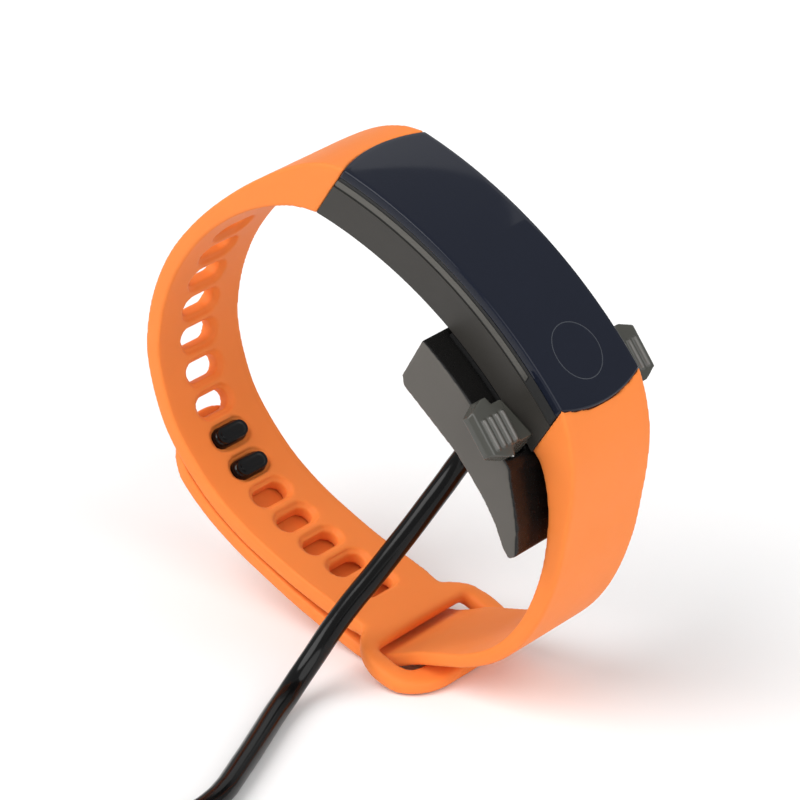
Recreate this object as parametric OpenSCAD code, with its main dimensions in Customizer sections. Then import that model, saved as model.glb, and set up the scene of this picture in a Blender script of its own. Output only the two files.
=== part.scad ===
// Fitness tracker band standing on its strap, clipped in its charging cradle.
// Origin: middle of the wrist opening.  +Y is the wrist axis, +Z is up.

/* [Tracker body] */
// Width of the tracker body and of both straps
band_w = 16.5; // [15.5:0.1:17]
// Length of the glass between its corners
body_l = 43; // [42:0.5:44]
// Rise of the curved glass over its length
glass_bow = 3.4; // [3:0.1:3.8]
// How far the rounded ends of the glass bulge into the straps
end_bulge = 1.5; // [1:0.1:2]
// Lean of the body away from lying level
body_tilt = 32.5; // [30:0.5:35]

/* [Straps] */
// Thickness of the strap where the slots are
strap_t = 2.4; // [2.2:0.1:2.6]
// Distance between neighbouring slots
slot_pitch = 5.2; // [5.1:0.05:5.3]
// Number of slots
slot_count = 14; // [10:1:14]
// Slot size across the strap
slot_l = 6.2; // [6:0.1:6.6]
// Slot size along the strap
slot_w = 2.9; // [2.8:0.1:3.1]
// Gap between the slot strap and the tail outside it
tail_gap = 0.35; // [0.3:0.05:0.5]

/* [Charging cradle] */
// Width of the cradle across the wrist axis
cradle_w = 25.6; // [25:0.2:26]
// Distance between the tips of the two ribbed ears
ear_span = 34.6; // [34:0.2:35]
// Clearance between the cradle and the back of the tracker
seat_gap = 0.15; // [0.1:0.05:0.2]

/* [Cable] */
// Diameter of the charging cable
cable_d = 3.2; // [3:0.1:3.4]
// Mean diameter of the turns in the coil
coil_d = 33; // [32:1:36]
// Height of the surface that the band stands on
floor_z = -35.5; // [-36:0.1:-35.5]

/* [Hidden] */
$fn = 48;
e = 0.01;
hw = band_w / 2;
half_l = body_l / 2;

// ---- Curves shared by several pieces ----

// Catmull-Rom curve through points of any size, with n steps between neighbours.
function curve_at(a, b, c, d, t) =
    0.5 * (2 * b + (c - a) * t + (2 * a - 5 * b + 4 * c - d) * t * t + (3 * b - a - 3 * c + d) * t * t * t);
function smooth(p, n) = [
    for (i = [0 : len(p) - 2], j = [0 : n - 1])
        curve_at(p[max(i - 1, 0)], p[i], p[i + 1], p[min(i + 2, len(p) - 1)], j / n),
    p[len(p) - 1]
];
function flat(p) = [p[0], p[1]];
function tangent(p, i) =
    let (d = flat(p[min(i + 1, len(p) - 1)]) - flat(p[max(i - 1, 0)])) d / norm(d);
// Left-hand normal of a path in the X-Z plane.
function side(p, i) = let (t = tangent(p, i)) [-t[1], t[0]];
// Outline of a ribbon whose third coordinate is its thickness.
function ribbon(p) = concat(
    [for (i = [0 : len(p) - 1]) flat(p[i]) + side(p, i) * p[i][2] / 2],
    [for (i = [len(p) - 1 : -1 : 0]) flat(p[i]) - side(p, i) * p[i][2] / 2]
);
// Lengths along a path, and the point and heading at one length.
function lengths(p) = [for (i = 0, s = 0; i < len(p);
    s = s + (i < len(p) - 1 ? norm(flat(p[i + 1]) - flat(p[i])) : 0), i = i + 1) s];
function along(p, k, s) = lookup(s, [let (l = lengths(p)) for (i = [0 : len(p) - 1]) [l[i], p[i][k]]]);
function point_at(p, s) = [along(p, 0, s), along(p, 1, s)];
function heading_at(p, s) =
    let (d = point_at(p, s + 0.5) - point_at(p, s - 0.5)) atan2(d[1], d[0]);

// Stands an outline drawn in X-Z up as a solid of width w along Y.
module upright(w) {
    rotate([90, 0, 0]) linear_extrude(w, center = true) children();
}
// A tube of n sides swept along points in space.
function unit(v) = v / norm(v);
function frame_up(t) = unit(abs(t[1]) < 0.9 ? cross(t, [0, 1, 0]) : cross(t, [1, 0, 0]));
module sweep(p, r, n) {
    rings = len(p);
    dirs = [for (i = [0 : rings - 1]) unit(p[min(i + 1, rings - 1)] - p[max(i - 1, 0)])];
    verts = [for (i = [0 : rings - 1]) let (u = frame_up(dirs[i]), v = cross(dirs[i], u))
        for (k = [0 : n - 1]) p[i] + r * (cos(360 * k / n) * u + sin(360 * k / n) * v)];
    walls = [for (i = [0 : rings - 2], k = [0 : n - 1])
        [i * n + k, i * n + (k + 1) % n, (i + 1) * n + (k + 1) % n, (i + 1) * n + k]];
    polyhedron(verts, concat([[for (k = [n - 1 : -1 : 0]) k]], walls,
        [[for (k = [0 : n - 1]) (rings - 1) * n + k]]), convexity = 6);
}
// A helix of a given pitch with its axis along Z.
function helix(r, pitch, turns, steps) =
    [for (i = [0 : turns * steps]) [r * cos(360 * i / steps), r * sin(360 * i / steps), pitch * i / steps]];

// ---- The tracker body's own frame: X towards its lower end, Z out of the glass ----

body_x = 18;
body_z = 25.5;
glass_r = (half_l * half_l + glass_bow * glass_bow) / (2 * glass_bow);
end_r = (hw * hw + end_bulge * end_bulge) / (2 * end_bulge);
end_x = half_l + end_bulge - end_r;
body_depth = 8.3;
glass_t = 1.5;
split_depth = 3.2;
rail_top = 2;
rail_bottom = 2.9;
cover_top = 7.3;
cover_margin = 0.8;
wall = 2;

module in_body() {
    translate([body_x, 0, body_z]) rotate([0, body_tilt, 0]) children();
}
// Plan of the body drawn in by a margin: a strip with bulged ends.
module body_plan(margin) {
    intersection() {
        translate([end_x, 0]) circle(end_r - margin, $fn = 96);
        translate([-end_x, 0]) circle(end_r - margin, $fn = 96);
        square([body_l * 1.2, band_w - 2 * margin], center = true);
    }
}
// Everything between the two bulged ends: the room that the body takes out of a strap.
module body_room() {
    translate([0, 0, -25]) linear_extrude(40) intersection() {
        translate([end_x, 0]) circle(end_r, $fn = 96);
        translate([-end_x, 0]) circle(end_r, $fn = 96);
    }
}
// A layer between two depths under the curved glass.
module layer(top, bottom, w = 40) {
    translate([0, 0, glass_bow - glass_r]) rotate([90, 0, 0]) difference() {
        cylinder(h = w, r = glass_r - top, center = true, $fn = 180);
        cylinder(h = w + 1, r = glass_r - bottom, center = true, $fn = 180);
    }
}
// The part of a layer that stands over a plan.
module sheet(top, bottom) {
    intersection() {
        layer(top, bottom);
        translate([0, 0, -25]) linear_extrude(40) children();
    }
}
// Height of a depth under the glass at a place along the body.
function depth_z(depth, x) = glass_bow - glass_r + sqrt(pow(glass_r - depth, 2) - x * x);

contact_x = 15;
contact_y = 3.5;
contact_r = 1.2;
sensor_x = 4;
sensor_r = 4.2;
touch_x = 15.9;
rail_end_x = 15.3;

module display_glass() color("#20242e") in_body() sheet(0, glass_t) body_plan(0);
module display_panel() color("#101318") in_body()
    sheet(glass_t, glass_t + 1.2) translate([-4, 0]) square([27, 11.6], center = true);
module touch_pad() color("#b98b4a") in_body()
    sheet(glass_t, glass_t + 0.3) translate([touch_x, 0]) circle(d = 8.4);

// One rail's pocket and the rail itself share this plan.
module rail_plan(side_y, margin) {
    translate([-half_l - 2, side_y > 0 ? hw - 0.9 + margin : -hw + 0.05])
        square([half_l + 2 + rail_end_x - margin, 0.85 - margin]);
}
module upper_frame() color("#0c0c0d") in_body() difference() {
    sheet(glass_t, split_depth) difference() {
        body_plan(0.15);
        body_plan(wall);
    }
    for (s = [-1, 1]) sheet(rail_top, rail_bottom) rail_plan(s, 0);
}
module rail(s) color("#8c8b84") in_body() sheet(rail_top, rail_bottom) intersection() {
    rail_plan(s, 0);
    body_plan(0.05);
}
module rail_near() rail(-1);
module rail_far() rail(1);

seal_top = split_depth;
seal_bottom = 3.7;
module seal_plan() difference() {
    body_plan(0.8);
    body_plan(1.5);
}
module frame_seal() color("#3a3a3a") in_body() sheet(seal_top, seal_bottom) seal_plan();
module lower_housing() color("#56514c") in_body() difference() {
    sheet(split_depth, body_depth) difference() {
        body_plan(0);
        body_plan(wall);
    }
    sheet(seal_top - 1, seal_bottom) seal_plan();
    sheet(cover_top, body_depth + 1) body_plan(cover_margin);
}
module contact_spots(r) for (s = [-1, 1]) translate([contact_x, s * contact_y]) circle(r);
module rear_cover() color("#1b1b1c") in_body() sheet(cover_top, body_depth) difference() {
    body_plan(cover_margin);
    translate([sensor_x, 0]) circle(sensor_r);
    contact_spots(contact_r);
}
module sensor_window() color("#15181a") in_body() sheet(cover_top, body_depth + 0.5)
    translate([sensor_x, 0]) circle(sensor_r);
module sensor_board() color("#1f5a3c") in_body() sheet(6.3, 6.7)
    translate([sensor_x, 0]) square([9, 9], center = true);
module pulse_lights() color("#7ddc8a") in_body() sheet(6.7, cover_top) {
    for (s = [-1, 1]) translate([sensor_x, s * 2.6]) square([1.6, 1.4], center = true);
    translate([sensor_x, 0]) square([2.6, 2.2], center = true);
}
module charge_contacts() color("#caa24c") in_body() sheet(7, body_depth) contact_spots(contact_r);
module main_board() color("#1f5a3c") in_body()
    sheet(2.9, 3.6) translate([-1, 0]) square([36, 11.8], center = true);
module battery() color("#b9bcc0") in_body()
    sheet(3.8, 7.1) translate([-10.3, 0]) square([18, 12], center = true);
module vibration_motor() color("#c8c8c4") in_body() sheet(3.8, 6.6) translate([14.5, 0]) circle(4);

// ---- Straps ----

// Middle line of the slot strap, from inside the body's top end round to the eyelet: x, z, thickness.
slot_line = smooth([
    [3.6, 31.7, 8.3], [-1.2, 33, 8.3], [-6, 32.8, 6.8], [-11.5, 31, 4.7], [-18.5, 27.1, 3.1],
    [-25.2, 21.6, strap_t], [-30.4, 15.2, strap_t], [-33.6, 8.4, strap_t], [-35, 1.5, strap_t],
    [-34.5, -4, strap_t], [-32.3, -10.4, strap_t], [-28.9, -15.2, strap_t], [-24.4, -19.6, strap_t],
    [-19, -23.1, strap_t], [-13.5, -25.6, strap_t], [-8, -27.7, strap_t], [-2, -29.5, strap_t],
    [3, -30.9, 2.3], [6.2, -31.7, 2.1]
], 5);
// Middle line of the eyelet's rim, which runs lower and thicker than the strap it grows from.
rim_line = smooth([
    [-8, -27.7, strap_t], [-2, -29.6, strap_t], [3, -31.1, 2.5], [8, -32.9, 2.7], [12, -34.2, 2.4],
    [16, -34.6, 2.2], [20, -34.7, 2.2]
], 5);
// Places on the slot strap that the tail is laid against: index, then distance out to the tail's middle.
tail_t = 2;
lay = strap_t / 2 + tail_gap + tail_t / 2;
function outside(i, gap) =
    let (q = flat(slot_line[5 * i]) - side(slot_line, 5 * i) * gap) [q[0], q[1], tail_t];
stud_line = smooth([
    [29.7, 15.2, 8.3], [32.9, 11.3, 8.3], [35.3, 6.5, 6], [36, 1.5, 4.4], [35.7, -4, 3.3],
    [34.6, -10.5, 2.8], [32.3, -17, 2.5], [29.2, -22.2, 2.3], [25.2, -26.2, 2.1], [20.5, -28.8, tail_t],
    [16, -30.3, tail_t], [12, -31.55, tail_t], [9, -32.95, tail_t], [6, -34.1, tail_t], [3, -34.3, tail_t],
    outside(16, 3.2), outside(15, 2.9), outside(14, lay + 0.1)
], 5);
tail_line = smooth([for (i = [14 : -1 : 9]) outside(i, i == 14 ? lay + 0.1 : lay)], 5);

slot_start = 36.5;
first_stud_slot = 7;
eyelet_w = 25.4;
eyelet_x0 = 2.5;
eyelet_x1 = 16.2;
eyelet_r = 6.5;
eye_x0 = -4;
eye_x1 = 12;
eye_w = 19;
eye_r = 2.4;

module rounded_plan(x0, x1, w, r) {
    translate([x0, -w / 2 + r]) square([x1 - x0, w - 2 * r]);
    translate([x0 + r, -w / 2]) square([x1 - x0 - 2 * r, w]);
    for (x = [x0 + r, x1 - r], y = [-w / 2 + r, w / 2 - r]) translate([x, y]) circle(r);
}
// A pill-shaped bar through the strap, square to it, at a length along its middle line.
module pill(s, l, w, low, high) {
    q = point_at(slot_line, s);
    translate([q[0], 0, q[1]]) rotate([0, -heading_at(slot_line, s), 0]) translate([0, 0, low])
        linear_extrude(high - low) {
            square([w, l - w], center = true);
            for (k = [-1, 1]) translate([0, k * (l - w) / 2]) circle(d = w);
        }
}
module slot_strap() color("#ff8a3c") difference() {
    union() {
        upright(band_w) polygon(ribbon(slot_line));
        intersection() {
            upright(eyelet_w) polygon(ribbon(rim_line));
            translate([0, 0, floor_z]) linear_extrude(20) difference() {
                rounded_plan(eyelet_x0, eyelet_x1, eyelet_w, eyelet_r);
                rounded_plan(eye_x0, eye_x1, eye_w, eye_r);
            }
        }
        intersection() {
            upright(eyelet_w) polygon(ribbon(slot_line));
            translate([0, 0, floor_z]) linear_extrude(20)
                rounded_plan(eyelet_x0, eyelet_x1, eyelet_w, eyelet_r);
        }
    }
    for (i = [0 : slot_count - 1]) {
        pill(slot_start + i * slot_pitch, slot_l, slot_w, -3, 3);
        pill(slot_start + i * slot_pitch, slot_l + 1.2, slot_w + 1.2, strap_t / 2 - 0.5, 3);
    }
    in_body() body_room();
}
module stud_strap() color("#ff8a3c") difference() {
    upright(band_w) polygon(ribbon(stud_line));
    in_body() body_room();
}

// The two studs stand side by side, square to the strap half way between their slots.
stud_s = slot_start + (first_stud_slot + 0.5) * slot_pitch;
stud_mid = point_at(slot_line, stud_s);
stud_turn = heading_at(slot_line, stud_s);
stud_l = 5.6;
stud_w = 2.3;
stud_rise = strap_t / 2 + 0.8;
tip_r = hw;
tip_x = 0.5;
// The studs' own frame: X along the strap to the eyelet, Z in towards the wrist.
module in_studs() {
    translate([stud_mid[0], 0, stud_mid[1]]) rotate([0, -stud_turn, 0]) children();
}
// Everything on the stud strap's side of the place where the tail begins.
module before_tail() {
    last = len(stud_line) - 1;
    d = tangent(stud_line, last);
    translate([stud_line[last][0], 0, stud_line[last][1]]) rotate([0, -atan2(d[1], d[0]), 0])
        translate([-20, -20, -5]) cube([20.03, 40, 10]);
}
module stud_plate() linear_extrude(0.8) square([9.4, 6.6], center = true);
module strap_tail() color("#ff8a3c") difference() {
    intersection() {
        upright(band_w) polygon(ribbon(tail_line));
        in_studs() translate([0, 0, -20]) linear_extrude(60) {
            translate([tip_x, 0]) circle(tip_r, $fn = 96);
            translate([tip_x, -hw]) square([60, band_w]);
        }
    }
    before_tail();
    in_studs() stud_blanks(-lay - 0.3, -0.9);
    in_studs() translate([0, 0, -lay - 0.2]) stud_plate();
}
module stud_blanks(low, high) {
    for (k = [-1, 1]) translate([k * slot_pitch / 2, 0, low]) linear_extrude(high - low) {
        square([stud_w, stud_l - stud_w], center = true);
        for (j = [-1, 1]) translate([0, j * (stud_l - stud_w) / 2]) circle(d = stud_w);
    }
}
module clasp_studs() color("#111214") in_studs() {
    stud_blanks(-lay, stud_rise);
    translate([0, 0, -lay - 0.2]) stud_plate();
}

// ---- Charging cradle, in the body's frame ----

seat_depth = body_depth + seat_gap;
shell_side = [
    [2.2, -5.4], [2.6, -12.6], [3.6, -13.7], [9, -14.2], [14.9, -14.8], [18, -15.6], [21.5, -16.7],
    [24.6, -18.1], [27.4, -20], [29, -20.6], [29.6, -19.4], [27.7, -16.2], [25.5, -13.6],
    [22.8, -10.8], [21.2, -8.6], [20.6, -8], [12, -6.1], [5, -5.2]
];
cable_x = 12;
cable_z = -14.5;
relief_top = -13.4;
relief_r = 2.7;
pivot_y = 10.4;
pivot_z = -9.8;
latch_x0 = 14.2;
latch_l = 6.2;
seat_x0 = 3.4;
seat_l = 16.8;
seat_w = 16.6;
seat_t = 1.2;
rim_drop = 0.5;
hub_l = 3.6;
pocket_gap = 0.25;
latch_pin_l = 8.2;
latch_pin_r = 0.45;
latch_pin_x = latch_x0 - 1.4;

module cradle_shell() color("#5d5954") in_body() difference() {
    upright(cradle_w) polygon(shell_side);
    // Seat recess, board space and the notch each side for a latch.
    layer(-2, seat_depth + rim_drop, cradle_w + 1);
    intersection() {
        layer(0, seat_depth + seat_t);
        translate([seat_x0, -seat_w / 2, -12]) cube([seat_l, seat_w, 14]);
    }
    translate([4.4, -7.4, -13]) cube([9, 14.8, 6]);
    translate([13.3, -7.4, -12.6]) cube([6.6, 14.8, 6]);
    for (s = [-1, 1]) {
        mirror([0, s < 0 ? 1 : 0, 0]) translate([latch_x0 - pocket_gap, 8.35, 0]) {
            translate([0, 0, -11.8]) cube([latch_l + 2 * pocket_gap, 3.75, 12]);
            translate([0, 0, -8.6]) cube([latch_l + 2 * pocket_gap, 8, 9]);
        }
        translate([latch_pin_x, s * pivot_y, pivot_z]) rotate([0, 90, 0])
            cylinder(h = latch_pin_l, r = latch_pin_r);
    }
    translate([cable_x, 0, -16]) cylinder(h = 16 + relief_top, r = relief_r);
    translate([cable_x, 0, -16]) cylinder(h = 5, r = 1.6);
}
module cradle_seat() color("#121213") in_body() difference() {
    intersection() {
        layer(seat_depth, seat_depth + seat_t);
        translate([seat_x0, -seat_w / 2, -12]) cube([seat_l, seat_w, 14]);
    }
    translate([sensor_x, 0, -12]) cylinder(h = 10, r = sensor_r + 0.5);
    for (s = [-1, 1]) translate([contact_x, s * contact_y, -12]) {
        cylinder(h = 10, r = 0.6);
        cylinder(h = 3.9, r = 1.05);
    }
}
board_top = -11.8;
module cradle_board() color("#1f5a3c") in_body()
    translate([5, -6.5, board_top - 0.7]) cube([14, 13, 0.7]);

pin_tip = depth_z(body_depth, contact_x) - 0.08;
module at_contact(s) in_body() translate([contact_x, s * contact_y, 0]) children();
module pogo_barrels() color("#caa24c") for (s = [-1, 1]) at_contact(s) difference() {
    translate([0, 0, board_top]) cylinder(h = 3.6, r = 1);
    translate([0, 0, board_top + 0.3]) cylinder(h = 3.1, r = 0.76);
    translate([0, 0, board_top]) cylinder(h = 5, r = 0.55);
}
module pogo_pin(s) color("#d9b35c") at_contact(s) {
    translate([0, 0, board_top + 3]) cylinder(h = pin_tip - 0.4 - board_top - 3, r = 0.5);
    translate([0, 0, pin_tip - 0.4]) cylinder(h = 0.4, r1 = 0.5, r2 = 0.3);
    translate([0, 0, board_top + 2.1]) cylinder(h = 1.2, r = 0.7);
}
module pogo_pin_a() pogo_pin(-1);
module pogo_pin_b() pogo_pin(1);
module pogo_spring(s) color("silver") at_contact(s) translate([0, 0, board_top + 0.42])
    sweep(helix(0.5, 0.39, 4, 10), 0.09, 6);
module pogo_spring_a() pogo_spring(-1);
module pogo_spring_b() pogo_spring(1);

// One latch: a hub on its pin, a low finger beside the body and a sloping six-sided ribbed ear outside.
finger_y = hw + 0.15;
finger_top = -6;
ear_mid_x = 17.3;
ear_mid_z = -5.8;
ear_slope = 20;
ear_neck = 2.95;
ear_root = 11.2;
ear_out = 13;
ear_half_l = 4.1;
ear_tip_half = 2.8;
ear_half_t = 1.2;
rib_x0 = -1.7;
rib_l = 4.4;
rib_y = 12.1;
rib_pitch = 1.2;
rib_r = 0.3;
skirt_t = 0.4;
// The ear's own frame, turned down towards the body's lower end.
module in_ear() {
    translate([ear_mid_x, 0, ear_mid_z]) rotate([0, ear_slope, 0]) children();
}
module latch_side() {
    polygon([[finger_y, -8.4], [finger_y, finger_top - 0.4], [finger_y + 0.4, finger_top], [12, finger_top],
        [12, -8.2], [11.5, -8.4]]);
}
module ear_side() {
    tip = ear_span / 2;
    polygon([[ear_root, ear_half_t], [tip - 0.6, ear_half_t], [tip, 0.5], [tip, -0.4], [tip - 0.5, -0.8],
        [ear_root, -ear_half_t]]);
}
module ear_plan() {
    polygon([[-ear_neck, ear_root - 1], [-ear_neck, ear_out], [-ear_half_l, ear_out + 0.4],
        [-ear_half_l, ear_out + 1.4], [-ear_tip_half, ear_span / 2 + 0.1], [ear_tip_half, ear_span / 2 + 0.1],
        [ear_half_l, ear_out + 1.4], [ear_half_l, ear_out + 0.4], [ear_neck, ear_out], [ear_neck, ear_root - 1]]);
}
module latch_hub_side() {
    polygon([[finger_y + 0.1, -7.5], [8.9, pivot_z], [11.9, pivot_z], [11.8, -7.5]]);
    translate([pivot_y, pivot_z]) circle(1.5);
}
module skirt_side() {
    polygon([[finger_y + 0.1, -7.5], [8.8, -10.6], [11.9, -10.6], [11.9, -7.5]]);
}
module extrude_x(x0, l) {
    translate([x0, 0, 0]) rotate([90, 0, 90]) linear_extrude(l) children();
}
module latch(s) color("#3c3a37") in_body() mirror([0, s < 0 ? 1 : 0, 0]) {
    difference() {
        union() {
            extrude_x(latch_x0, latch_l) latch_side();
            extrude_x(latch_x0, hub_l) latch_hub_side();
            extrude_x(latch_x0 + latch_l - skirt_t, skirt_t) skirt_side();
            in_ear() intersection() {
                extrude_x(-5, 10) ear_side();
                translate([0, 0, -2]) linear_extrude(4) ear_plan();
            }
            in_ear() for (k = [0 : 3]) translate([rib_x0, rib_y + rib_pitch * k, ear_half_t])
                rotate([0, 90, 0]) cylinder(h = rib_l, r = rib_r, $fn = 24);
        }
        extrude_x(latch_x0 - 1, latch_l + 2) translate([pivot_y, pivot_z])
            circle(latch_pin_r + 0.05);
    }
}
module latch_near() latch(-1);
module latch_far() latch(1);
module latch_pins() color("silver") in_body() for (s = [-1, 1])
    translate([latch_pin_x, s * pivot_y, pivot_z]) rotate([0, 90, 0])
            cylinder(h = latch_pin_l, r = latch_pin_r);
module latch_springs() color("silver") in_body() for (s = [-1, 1])
    translate([latch_x0 + hub_l + 0.4, s * pivot_y, pivot_z]) rotate([0, 90, 0])
        sweep(helix(1.0, 0.38, 4, 12), 0.16, 6);

// ---- Cable ----

cable_r = cable_d / 2;
lie_z = floor_z + cable_r + e;
relief_l = 7;
module cable_relief() color("#101011") in_body() translate([cable_x, 0, 0]) {
    translate([0, 0, cable_z - relief_l]) cylinder(h = relief_l, r1 = cable_r + 0.2, r2 = relief_r);
    translate([0, 0, cable_z]) cylinder(h = relief_top - cable_z, r = relief_r);
}

// Middle of the coil on the floor, and where the cable meets it.
coil_x = 24.7;
coil_y = -91.5;
coil_w = 3 * cable_d;
coil_h = 2 * cable_d;
tie_t = 0.5;
coil_z = floor_z + tie_t + coil_h / 2;
route = [
    [16.5, 0, 0.85], [15.7, 0, -0.4], [14.8, -0.25, -1.9], [14, -0.75, -3.4], [13.3, -1.55, -4.9],
    [12.6, -2.7, -6.7], [11.6, -4.5, -9.2], [10.3, -6.7, -12.4], [8.7, -9.1, -16], [7.1, -11.2, -19.4],
    [5.4, -13.4, -22.8], [3.8, -15.8, -26.6], [2.9, -18.3, -29.8], [2.7, -21.6, -32.3],
    [3.4, -25, lie_z + 0.4], [4.6, -28.6, lie_z + 0.06], [7.1, -34.5, lie_z], [9.8, -41, lie_z],
    [12.6, -48.7, lie_z], [13, -57, lie_z], [11, -67, lie_z], [7.7, -76.5, lie_z],
    [5.7, -84.5, lie_z + 0.3], [5, -91.5, lie_z + 0.5]
];
module charge_cable() color("#0c0c0d") sweep(smooth(route, 3), cable_r, 8);
module coil_ring(grow) {
    translate([coil_x, coil_y, coil_z]) rotate_extrude($fn = 96)
        translate([coil_d / 2, 0]) square([coil_w + 2 * grow, coil_h + 2 * grow], center = true);
}
module cable_coil() color("#0c0c0d") coil_ring(0);
module coil_tie() color("#1b1b1c") difference() {
    translate([coil_x, coil_y - coil_d / 2 + 0.15, coil_z])
        cube([5, coil_w + 2 * tie_t + 0.3, coil_h + 2 * tie_t], center = true);
    coil_ring(e);
}

// The plug lies along Y beside the coil, and its lead turns up into it.
plug_x = 52;
plug_y = -82;
plug_z = floor_z + 4.1;
grip_l = 22;
shell_l = 18.5;
module plug_grip() color("#101011") translate([plug_x, plug_y, plug_z]) {
    difference() {
        rotate([-90, 0, 0]) linear_extrude(grip_l) {
            square([9.6, 8.2], center = true);
            for (k = [-1, 1]) translate([k * 4.8, 0]) intersection() {
                circle(4.1);
                square([6, 8.2], center = true);
            }
        }
        translate([0, grip_l - 4, 0]) cube([12, 10, 4.5], center = true);
    }
    rotate([90, 0, 0]) cylinder(h = 8, r1 = 3, r2 = cable_r + 0.2);
}
lead = [
    [36.8, -107, lie_z + 3.7], [39.8, -104.8, lie_z + 3.7], [43, -102.7, lie_z + 3.6],
    [46, -100.4, lie_z + 3.4], [48.6, -97.7, lie_z + 3.1], [50.6, -94.8, lie_z + 2.8],
    [51.7, -92.2, lie_z + 2.6], [52, -90, lie_z + 2.5]
];
module plug_lead() color("#0c0c0d") sweep(smooth(lead, 3), cable_r, 8);
module plug_shell() color("#c9cbce") translate([plug_x, plug_y + grip_l - 9, plug_z]) difference() {
    translate([-6, 0, -2.25]) cube([12, 9 + shell_l - 6.5, 4.5]);
    translate([-5.7, 0.3, -1.95]) cube([11.4, 40, 3.9]);
}
module plug_tongue() color("#e8e8e6") translate([plug_x - 5.6, plug_y + grip_l - 8.6, plug_z - 1.9])
    cube([11.2, 8.6 + shell_l - 7.5, 1.9]);

display_glass();
display_panel();
touch_pad();
upper_frame();
rail_near();
rail_far();
frame_seal();
lower_housing();
rear_cover();
sensor_window();
sensor_board();
pulse_lights();
charge_contacts();
main_board();
battery();
vibration_motor();
slot_strap();
stud_strap();
strap_tail();
clasp_studs();
cradle_shell();
cradle_seat();
cradle_board();
pogo_barrels();
pogo_pin_a();
pogo_pin_b();
pogo_spring_a();
pogo_spring_b();
latch_near();
latch_far();
latch_pins();
latch_springs();
cable_relief();
charge_cable();
cable_coil();
coil_tie();
plug_lead();
plug_grip();
plug_shell();
plug_tongue();
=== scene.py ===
"""Fitness tracker band on its clip-on charging cradle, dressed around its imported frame.

Units are metres in the part's own frame: +Y is the wrist axis and +Z is up.
"""

import logging
import math
from dataclasses import dataclass, field
from enum import Enum
from typing import Callable, Iterable, Sequence

import bmesh
import bpy
import numpy as np
from mathutils import Matrix, Vector


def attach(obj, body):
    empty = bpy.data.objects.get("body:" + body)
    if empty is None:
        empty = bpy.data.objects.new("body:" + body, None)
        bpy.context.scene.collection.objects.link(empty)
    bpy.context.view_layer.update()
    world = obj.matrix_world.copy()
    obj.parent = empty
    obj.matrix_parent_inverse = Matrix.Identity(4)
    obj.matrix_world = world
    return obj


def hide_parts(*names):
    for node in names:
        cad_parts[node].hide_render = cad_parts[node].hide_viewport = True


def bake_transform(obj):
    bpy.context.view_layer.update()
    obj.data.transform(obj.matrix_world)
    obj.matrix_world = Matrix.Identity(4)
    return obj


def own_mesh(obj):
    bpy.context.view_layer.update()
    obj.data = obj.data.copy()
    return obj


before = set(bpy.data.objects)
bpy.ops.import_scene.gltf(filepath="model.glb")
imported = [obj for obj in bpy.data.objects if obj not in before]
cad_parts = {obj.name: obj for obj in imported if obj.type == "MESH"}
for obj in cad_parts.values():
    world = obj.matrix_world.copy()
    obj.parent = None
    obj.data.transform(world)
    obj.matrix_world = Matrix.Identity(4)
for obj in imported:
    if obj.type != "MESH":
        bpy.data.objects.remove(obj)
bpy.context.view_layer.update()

log = logging.getLogger("tracker_band")

MM = 0.001
FLOOR_Z = -35.5 * MM
LAST_ROW = (0.0, 0.0, 0.0, 1.0)
BODY_FRAME = (Matrix.Translation((0.018, 0.0, 0.0255))
              @ Matrix.Rotation(math.radians(32.5), 4, "Y"))
STUD_FRAME = (Matrix.Translation((-0.0274737, 0.0, -0.0167662))
              @ Matrix.Rotation(math.radians(46.33), 4, "Y"))


class Body(Enum):
    """The frame's bodies that pieces ride on."""

    CHARGER = "charger"
    TRACKER = "tracker"
    TAIL = "tail"
    LATCH_NEAR = "latch_near"
    LATCH_FAR = "latch_far"


class Pattern(Enum):
    """The kinds of surface detail that a finish can have."""

    GRAIN = "moulded_grain"
    BRUSHED = "brushed_metal"
    WOVEN = "woven_tape"
    BOARD = "solder_mask"
    # Two colours split by distance from the mid plane, used for a painted reflection and for
    # painted shade.
    PAINTED_LIGHT_SPLIT = "painted_light_split"


class RowItem(Enum):
    """What a row of repeated small pieces is made of."""

    BAR = "bar"
    RING = "ring"
    PAD = "pad"


# ---- Node trees, shader groups and finishes ----


def socket_kind(default: object) -> str:
    """Returns the socket type for a default value, where None is a vector without one."""
    if isinstance(default, tuple):
        return "NodeSocketColor" if len(default) == 4 else "NodeSocketVector"
    if isinstance(default, int):
        return "NodeSocketInt"
    return "NodeSocketVector" if default is None else "NodeSocketFloat"


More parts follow.
